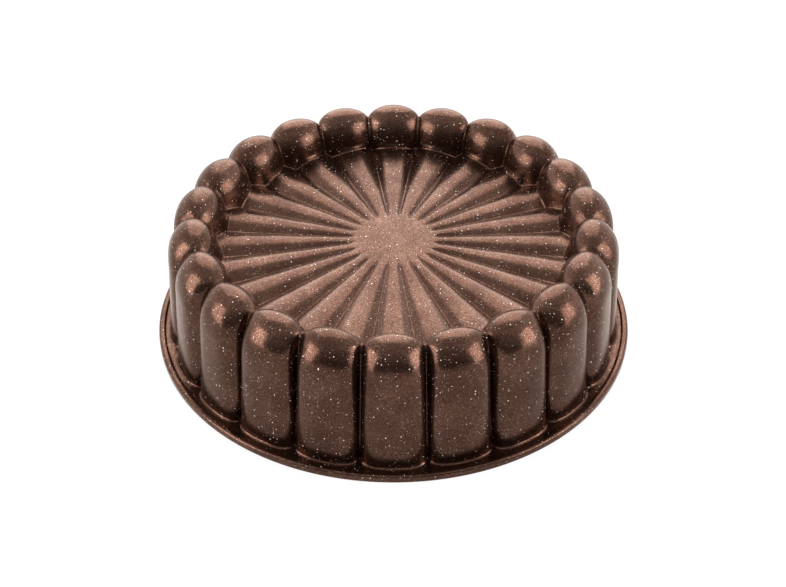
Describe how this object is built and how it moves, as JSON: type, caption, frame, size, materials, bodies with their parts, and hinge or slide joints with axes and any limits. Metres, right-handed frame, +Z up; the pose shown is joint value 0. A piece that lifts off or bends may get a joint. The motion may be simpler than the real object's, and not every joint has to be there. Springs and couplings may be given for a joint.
{
  "type": "segmented cake mould",
  "caption": "Round cast cake mould with a ring of rounded lobes round a sunken petal floor and a flat flange, standing mouth down on its rim.",
  "frame": {"origin": "centre of the mouth, on the plane of the rim's underside that the mould stands on", "axes": "+Z up through the crowns of the lobes, away from the mouth; one lobe and one petal are centred on -Y"},
  "size_m": [0.28, 0.28, 0.0768],
  "materials": {
    "bronze_coating": "satin bronze-brown non-stick coating with a fine metallic grain and scattered pale speckles"
  },
  "bodies": {
    "root": {"mould_casting": "bronze_coating"}
  },
  "joints": []
}
